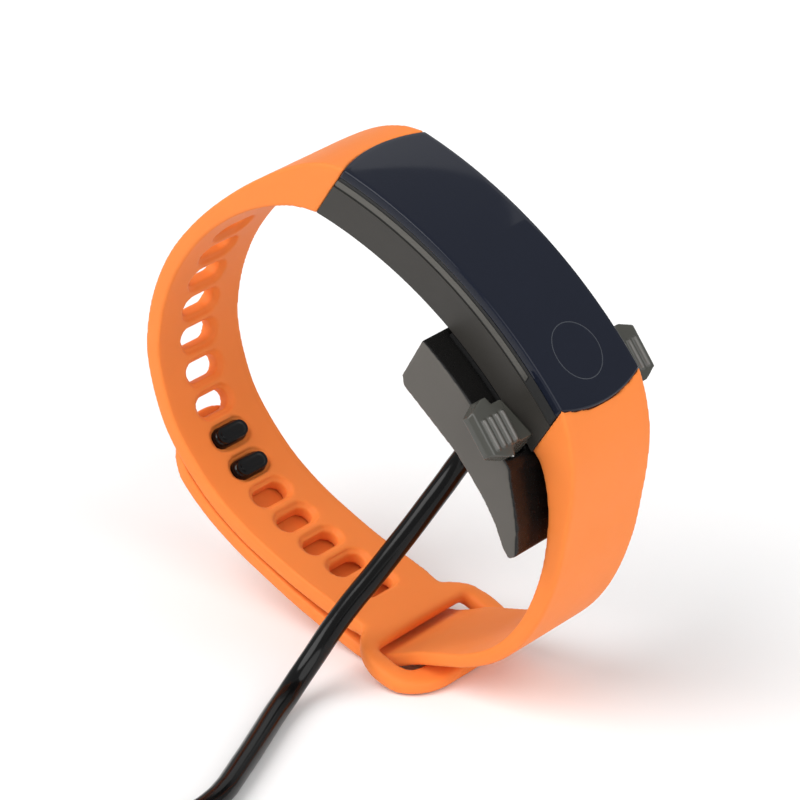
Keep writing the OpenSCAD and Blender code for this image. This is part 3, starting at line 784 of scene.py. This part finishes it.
@dataclass
class ChargingCord:
    """The cable from the cradle to its coil and plug, one line from end to end.

    Its places are in millimetres, and the sizes of its rows in metres.
    """

    radius: float = 0.0016
    coil_x: float = 24.7
    coil_y: float = -91.5
    outer: float = 19.7
    lie: float = -33.89
    tie: float = 0.5
    first_angle: float = 184.0
    last_angle: float = 1746.0
    angle_step: float = 6.0
    ramp: float = 60.0
    layer_angle: float = 1080.0
    path_steps: int = 3
    plug_x: float = 52.0
    plug_y: float = -82.0
    plug_z: float = -31.4
    rib_start: tuple[float, float] = (-3.6, 3.2)
    rib_face: float = 4.0
    pad_start: tuple[float, float, float] = (-3.5, 29.2, 0.02)
    window: tuple[float, float, float] = (2.9, 28.3, 2.1)
    window_size: tuple[float, float, float] = (0.0022, 0.0025, 0.0009)
    shell_edge: float = 0.00012
    relief_top: tuple[float, float, float] = (12.0, 0.0, -15.6)
    path: list[Vector] = field(default_factory=list)

    def free_route(self) -> list[tuple[float, float, float]]:
        """Returns the stretch from the cradle to the coil."""
        z = self.lie
        return [(16.5, 0, 0.85), (15.7, 0, -0.4), (14.8, -0.25, -1.9), (14, -0.75, -3.4),
                (13.3, -1.55, -4.9), (12.6, -2.7, -6.7), (11.6, -4.5, -9.2),
                (10.3, -6.7, -12.4), (8.7, -9.1, -16), (7.1, -11.2, -19.4),
                (5.4, -13.4, -22.8), (3.8, -15.8, -26.6), (2.9, -18.3, -29.8),
                (2.7, -21.6, -32.3), (3.4, -25, z + 0.4), (4.6, -28.6, z + 0.06),
                (7.1, -34.5, z), (9.8, -41, z), (12.6, -48.7, z), (13, -57, z), (11, -67, z),
                (7.7, -76.5, z), (5.7, -84.5, z + 0.3)]

    def turns(self) -> list[tuple[float, float, float]]:
        """Returns the coil's turns, wound inwards on the floor and outwards on top."""
        pitch = 2 * self.radius / MM
        moves = {540: -1, 900: -1, 1260: 1, 1620: 1}

        def passed(angle: float, start: float) -> float:
            """Returns how much of the ramp after start is passed, from 0 to 1."""
            return min(max((angle - start) / self.ramp, 0.0), 1.0)

        out, angle = [], self.first_angle
        while angle <= self.last_angle:
            radius = self.outer + sum(sign * pitch * passed(angle, start)
                                      for start, sign in moves.items())
            a = math.radians(angle)
            out.append((self.coil_x + radius * math.cos(a), self.coil_y + radius * math.sin(a),
                        self.lie + self.tie + pitch * passed(angle, self.layer_angle)))
            angle += self.angle_step
        return out

    def lead(self) -> list[tuple[float, float, float]]:
        """Returns the short stretch from the coil to the plug."""
        z = self.lie
        return [(39.8, -104.8, z + 3.7), (43, -102.7, z + 3.6), (46, -100.4, z + 3.4),
                (48.6, -97.7, z + 3.1), (50.6, -94.8, z + 2.8), (51.7, -92.2, z + 2.6),
                (52, -90, z + 2.5)]

    def on_plug(self, x: float, y: float, z: float) -> Matrix:
        """Returns the move to a place measured from the plug's own point."""
        return shift(self.plug_x + x, self.plug_y + y, self.plug_z + z)

    def build(self) -> None:
        """Makes the cable, its tie, its relief and its plug."""
        points = [Vector(p) * MM for p in [*self.free_route(), *self.turns(), *self.lead()]]
        self.path = smooth_path(points, self.path_steps)
        length = sum((b - a).length for a, b in zip(self.path, self.path[1:]))
        tube_mesh = tube("charging_cable", self.path, self.radius)
        cable = seat(new_piece("charging_cable", tube_mesh, JACKET), Body.CHARGER,
                     ["charge_cable", "cable_coil", "plug_lead"])
        on_cable = [self.grip(), self.grip_ribs(), self.contact_pads(), self.tie_band(),
                    self.shell(), "plug_tongue"]
        self.relief()
        dress({"plug_tongue": TONGUE})
        log.info("cable length %.3f m", length)

    def grip(self) -> bpy.types.Object:
        """Makes the plug's moulded grip."""
        mesh = SoftCopy(("plug_grip",), voxel=0.00028, rounds=5).mesh()
        return seat(new_piece("plug_body", mesh, PLUG_BLACK), Body.CHARGER,
                    ["plug_grip"])

    def grip_ribs(self) -> bpy.types.Object:
        """Makes the ribs on both faces of the grip."""
        row = RowMaker("grip_ribs", RowItem.BAR, count=6, step=(0.0, 0.0017, 0.0),
                       length=0.0072, radius=0.00032)
        mesh = joined("grip_ribs", [
            row.build(PLUG_BLACK, self.on_plug(*self.rib_start, face * self.rib_face))
            for face in (-1, 1)])
        return seat(new_piece("plug_ribs", mesh, PLUG_BLACK), Body.CHARGER)

    def contact_pads(self) -> bpy.types.Object:
        """Makes the four contacts on the plug's tongue."""
        row = RowMaker("plug_contacts", RowItem.PAD, count=4, step=(0.00233, 0.0, 0.0),
                       length=0.0011, radius=0.0078, height=0.00016)
        mesh = row.build(GOLD, self.on_plug(*self.pad_start))
        return seat(new_piece("plug_contacts", mesh, GOLD, smooth=False), Body.CHARGER)

    def shell(self) -> bpy.types.Object:
        """Makes the plug's steel shell with its two square windows a side."""
        obj = link("shell_blank", solid_of("plug_shell"))
        side, along, up = self.window
        cutter = bmesh.new()
        for x in (-side, side):
            for z in (-up, up):
                made = bmesh.ops.create_cube(cutter, size=1.0)["verts"]
                bmesh.ops.scale(cutter, vec=self.window_size, verts=made)
                bmesh.ops.translate(cutter, vec=self.on_plug(x, along, z).to_translation(),
                                    verts=made)
        mesh = bpy.data.meshes.new("windows")
        cutter.to_mesh(mesh)
        cutter.free()
        tool = link("windows", mesh)
        cut = obj.modifiers.new("windows", "BOOLEAN")
        cut.operation, cut.object, cut.solver = "DIFFERENCE", tool, "EXACT"
        edge = obj.modifiers.new("edge", "BEVEL")
        edge.width, edge.segments, edge.limit_method = self.shell_edge, 2, "ANGLE"
        done = applied(obj)
        bpy.data.objects.remove(tool)
        return seat(new_piece("plug_can", done, STEEL, smooth=False), Body.CHARGER,
                    ["plug_shell"])

    def tie_band(self) -> bpy.types.Object:
        """Makes the tie that holds the coil."""
        mesh = SoftCopy(("coil_tie",), voxel=0.00016, rounds=3).mesh()
        return seat(new_piece("coil_band", mesh, TIE), Body.CHARGER, ["coil_tie"])

    def relief(self) -> None:
        """Makes the tapered strain relief with its rings under the cradle."""
        mesh = SoftCopy(("cable_relief",), voxel=0.00018, rounds=4).mesh()
        seat(new_piece("relief_cone", mesh, PLUG_BLACK), Body.CHARGER,
             ["cable_relief"])
        row = RowMaker("relief_rings", RowItem.RING, count=5, step=(0.0, 0.0, -0.0011),
                       length=0.00246, radius=0.00034, shrink=0.058)
        rings = row.build(PLUG_BLACK, BODY_FRAME @ shift(*self.relief_top))
        seat(new_piece("relief_rings", rings, PLUG_BLACK), Body.CHARGER)


# ---- The tracker ----


@dataclass
class Tracker:
    """The tracker's body: curved glass, black frame, rails, housing and what is inside it."""

    half_length: float = 21.5
    half_width: float = 8.25
    bow: float = 3.4
    bulge: float = 1.5
    glass_depth: float = 1.5
    glass_edge: float = 0.0003
    glass_rows: int = 20
    glass_columns: int = 56
    edge_angle: float = 40.0
    ring_x: float = 15.9
    ring_radius: float = 3.95
    ring_line: float = 0.13
    ring_low: float = -0.02
    ring_high: float = 0.012
    ring_steps: int = 120

    def __post_init__(self) -> None:
        """Works out the radii that the sizes give."""
        self.radius = (self.half_length**2 + self.bow**2) / (2 * self.bow)
        self.end_radius = (self.half_width**2 + self.bulge**2) / (2 * self.bulge)
        self.end_x = self.half_length + self.bulge - self.end_radius

    def height(self, x: float, depth: float = 0.0) -> float:
        """Returns the height of a depth under the glass at a place along it."""
        return self.bow - self.radius + math.sqrt((self.radius - depth) ** 2 - x * x)

    def reach(self, y: float) -> float:
        """Returns how far the glass reaches along the body at a place across it."""
        return self.end_x + math.sqrt(self.end_radius**2 - y * y)

    def build(self) -> None:
        """Makes the glass and its ring, and dresses the rest."""
        self.glass()
        self.ring()
        dress({"upper_frame": FRAME_BLACK, "rail_near": RAIL, "rail_far": RAIL,
               "lower_housing": HOUSING, "rear_cover": COVER, "sensor_window": WINDOW,
               "frame_seal": SEAL, "display_panel": PANEL, "touch_pad": FILM,
               "sensor_board": BOARD, "main_board": BOARD, "pulse_lights": LAMP,
               "charge_contacts": GOLD, "battery": FOIL, "vibration_motor": STEEL})

    def glass(self) -> None:
        """Makes the cover glass as an even sheet with softened edges."""
        across, lengthways = self.glass_rows, self.glass_columns
        verts, faces = [], []
        for depth in (0.0, self.glass_depth):
            for j in range(across + 1):
                y = self.half_width * (2 * j / across - 1)
                for i in range(lengthways + 1):
                    x = self.reach(y) * (2 * i / lengthways - 1)
                    verts.append((x, y, self.height(x, depth)))
        row = lengthways + 1
        under = row * (across + 1)

        def at(i: int, j: int, low: int) -> int:
            """Returns a point's number."""
            return low * under + j * row + i

        rows, columns = range(across), range(lengthways)
        for low in (0, 1):
            faces += [(at(i, j, low), at(i + 1, j, low), at(i + 1, j + 1, low),
                       at(i, j + 1, low)) for i in columns for j in rows]
        for j in (0, across):
            faces += [(at(i, j, 0), at(i + 1, j, 0), at(i + 1, j, 1), at(i, j, 1))
                      for i in columns]
        for i in (0, lengthways):
            faces += [(at(i, j, 0), at(i, j + 1, 0), at(i, j + 1, 1), at(i, j, 1))
                      for j in rows]
        mesh = mesh_from("glass", [Vector(v) * MM for v in verts], faces)
        mesh.transform(BODY_FRAME)
        obj = link("glass_blank", mesh)
        edge = obj.modifiers.new("edge", "BEVEL")
        edge.width, edge.segments, edge.limit_method = self.glass_edge, 3, "ANGLE"
        edge.angle_limit = math.radians(self.edge_angle)
        made = new_piece("cover_glass", applied(obj), GLASS)
        seat(made, Body.TRACKER, ["display_glass"])

    def ring(self) -> None:
        """Makes the thin printed ring round the touch area."""
        low, high, count = self.ring_low, self.ring_high, self.ring_steps
        verts, faces = [], []
        for k in range(count):
            a = 2 * math.pi * k / count
            for r, lift in ((0, low), (0, high), (1, high), (1, low)):
                size = self.ring_radius + (r - 0.5) * self.ring_line
                x, y = self.ring_x + size * math.cos(a), size * math.sin(a)
                verts.append(Vector((x, y, self.height(x) + lift)) * MM)
        for k in range(count):
            n = (k + 1) % count
            faces += [(4 * k + s, 4 * k + (s + 1) % 4, 4 * n + (s + 1) % 4, 4 * n + s)
                      for s in range(4)]
        mesh = mesh_from("ring", verts, faces)
        mesh.transform(BODY_FRAME)
        seat(new_piece("touch_ring", mesh, RING), Body.TRACKER)


# ---- The straps ----


@dataclass
class Straps:
    """The slotted strap with its eyelet, the studded strap with its tail, and the studs."""

    voxel: float = 0.00026
    overlap: tuple[float, float, float] = (0.0001, 0.0, -0.00004)
    bend_start: tuple[float, float, float] = (-0.0085, 0.0, -0.0333)
    bend_end: tuple[float, float, float] = (-0.0165, 0.0, -0.0305)
    stud_length: float = 6.1
    stud_width: float = 3.1
    stud_pitch: float = 5.2
    stud_low: float = -1.2
    stud_side: float = 0.8
    stud_dome: float = 1.15
    stud_top: float = 2.1
    stud_rings: int = 8
    stud_points: int = 48
    end_center: float = -0.44
    end_radius: float = 23.44
    end_low: float = -9.0
    end_start: float = 0.3
    end_fade: float = 1.2
    end_hold: float = 0.93
    eyelet_start: float = 0.5
    eyelet_fade: float = 3.0
    eyelet_top: float = -0.02
    slot_share: float = 0.04
    slot_rounds: int = 34
    stud_share: float = 0.5
    stud_rounds: int = 12

    def near_body(self, co: np.ndarray) -> np.ndarray:
        """Returns how near each point is to the tracker's ends, from 0 far off to 1 at them."""
        inverse = np.array(BODY_FRAME.inverted())
        local = (co @ inverse[:3, :3].T + inverse[:3, 3]) / MM
        curve = np.sqrt(np.maximum(self.end_radius**2 - local[:, 1] ** 2, 0.0))
        gap = np.abs(local[:, 0]) - (self.end_center + curve)
        near = np.clip(1.0 - (gap - self.end_start) / self.end_fade, 0.0, 1.0)
        return np.where(local[:, 2] > self.end_low, near, 0.0)

    def slot_weight(self, co: np.ndarray) -> np.ndarray:
        """Returns how much each point of the slotted strap is relaxed."""
        eyelet = np.clip((co[:, 0] / MM - self.eyelet_start) / self.eyelet_fade, 0.0, 1.0)
        eyelet = eyelet * (co[:, 2] < self.eyelet_top)
        share = np.clip(self.slot_share + (1.0 - self.slot_share) * eyelet, 0.0, 1.0)
        return share * (1.0 - self.end_hold * self.near_body(co))

    def stud_weight(self, co: np.ndarray) -> np.ndarray:
        """Returns how much each point of the studded strap is relaxed."""
        return self.stud_share * (1.0 - self.end_hold * self.near_body(co))

    def build(self) -> None:
        """Makes the straps and the studs."""
        slotted = SoftCopy(("slot_strap",), self.voxel, self.slot_rounds,
                           self.slot_weight).mesh()
        seat(new_piece("slotted_strap", slotted, ORANGE), Body.TRACKER,
             ["slot_strap"])
        mesh = SoftCopy(("stud_strap", "strap_tail"), self.voxel, self.stud_rounds,
                        self.stud_weight, self.overlap).mesh()
        studded = new_piece("studded_strap", mesh, ORANGE)
        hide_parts("stud_strap", "strap_tail")
        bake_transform(studded)
        self.studs()

    def studs(self) -> None:
        """Makes the two glossy studs on the frame's plate."""
        mesh = joined("studs", [self.stud(side * self.stud_pitch / 2) for side in (-1, 1)])
        mesh.transform(STUD_FRAME)
        seat(new_piece("stud_heads", mesh, STUD), Body.TAIL)
        dress({"clasp_studs": STUD})

    def stud(self, x: float) -> bpy.types.Mesh:
        """Makes one domed pill-shaped stud at a place along the strap."""
        levels = [(self.stud_low, 0.0), (self.stud_side, 0.0)]
        rise = self.stud_top - self.stud_side
        for k in range(1, self.stud_rings + 1):
            a = math.pi * k / (2 * self.stud_rings)
            levels.append((self.stud_side + rise * math.sin(a),
                           self.stud_dome * (1 - math.cos(a))))
        straight = (self.stud_length - self.stud_width) / 2
        verts = []
        for z, inset in levels:
            half = self.stud_width / 2 - inset
            for k in range(self.stud_points):
                a = 2 * math.pi * k / self.stud_points
                end = straight if math.sin(a) >= 0 else -straight
                verts.append(Vector((x + half * math.cos(a), end + half * math.sin(a), z)) * MM)
        return mesh_from("stud", verts, rings_closed(len(levels), self.stud_points))


# ---- The cradle ----


@dataclass
class Cradle:
    """The charging cradle: its shell, seat, latches with ribbed ears, pins and board."""

    rib_count: int = 4
    rib_pitch: float = 1.2
    rib_start: float = -1.75
    rib_length: float = 4.5
    rib_first_y: float = 12.1
    rib_height: float = 1.2
    rib_radius: float = 0.00036
    ear_x: float = 17.3
    ear_z: float = -5.8
    ear_slope: float = 20.0
    pin_x: float = 15.0
    pin_y: float = 3.5
    spring_foot: float = -11.47
    spring_keep: float = 0.5

    def build(self) -> None:
        """Makes the shell, the latches and their ribs, and dresses the rest."""
        self.shell()
        for body, node, side in ((Body.LATCH_NEAR, "latch_near", -1),
                                 (Body.LATCH_FAR, "latch_far", 1)):
            mesh = SoftCopy((node,), voxel=0.00012, rounds=5).mesh()
            # The arm's finish paints its inner part darker as shade.
            seat(new_piece(node + "_arm", mesh, EAR), body, [node])
            self.ribs(body, node, side)
        dress({"cradle_seat": CRADLE_BLACK, "cradle_board": BOARD, "pogo_barrels": GOLD,
               "pogo_pin_a": GOLD, "pogo_pin_b": GOLD, "latch_pins": STEEL,
               "latch_springs": STEEL})
        self.spring("a")
        self.spring("b")

    def spring(self, tag: str) -> None:
        """Makes one contact pin's spring on a mesh of its own; the real spring shortens as its
        pin goes down.
        """
        node = "pogo_spring_" + tag
        made = seat(new_piece("pin_spring_" + tag, solid_of(node), STEEL), Body.CHARGER,
                    [node])
        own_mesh(made)

    def shell(self) -> None:
        """Makes the cradle's shell, black, with a pale grey band on each side face that is a
        painted reflection.
        """
        mesh = SoftCopy(("cradle_shell",), voxel=0.00024, rounds=5).mesh()
        seat(new_piece("cradle_case_painted_reflection", mesh, CRADLE_CASE_PAINTED_REFLECTION), Body.CHARGER,
             ["cradle_shell"])

    def ribs(self, body: Body, node: str, side: int) -> None:
        """Makes the glossy ribs on one latch's ear, coloured pale grey as a painted highlight on
        the black ear.
        """
        row = RowMaker(node + "_ribs", RowItem.BAR, self.rib_count,
                       (0.0, side * self.rib_pitch * MM, 0.0), self.rib_length * MM,
                       self.rib_radius)
        slope = Matrix.Rotation(math.radians(self.ear_slope), 4, "Y")
        ear = BODY_FRAME @ shift(self.ear_x, 0.0, self.ear_z) @ slope
        place = ear @ shift(self.rib_start, side * self.rib_first_y, self.rib_height)
        seat(new_piece(node + "_ribs", row.build(EAR_RIB_PAINTED_HIGHLIGHT, place), EAR_RIB_PAINTED_HIGHLIGHT), body)


def main() -> None:
    """Builds the studio, the cord, the tracker, the straps and the cradle."""
    logging.basicConfig(level=logging.INFO, format="%(name)s: %(message)s")
    studio = Studio()
    studio.camera()
    ChargingCord().build()
    Tracker().build()
    Straps().build()
    Cradle().build()
    studio.lights()
    studio.floor()


if __name__ == "__main__":
    main()
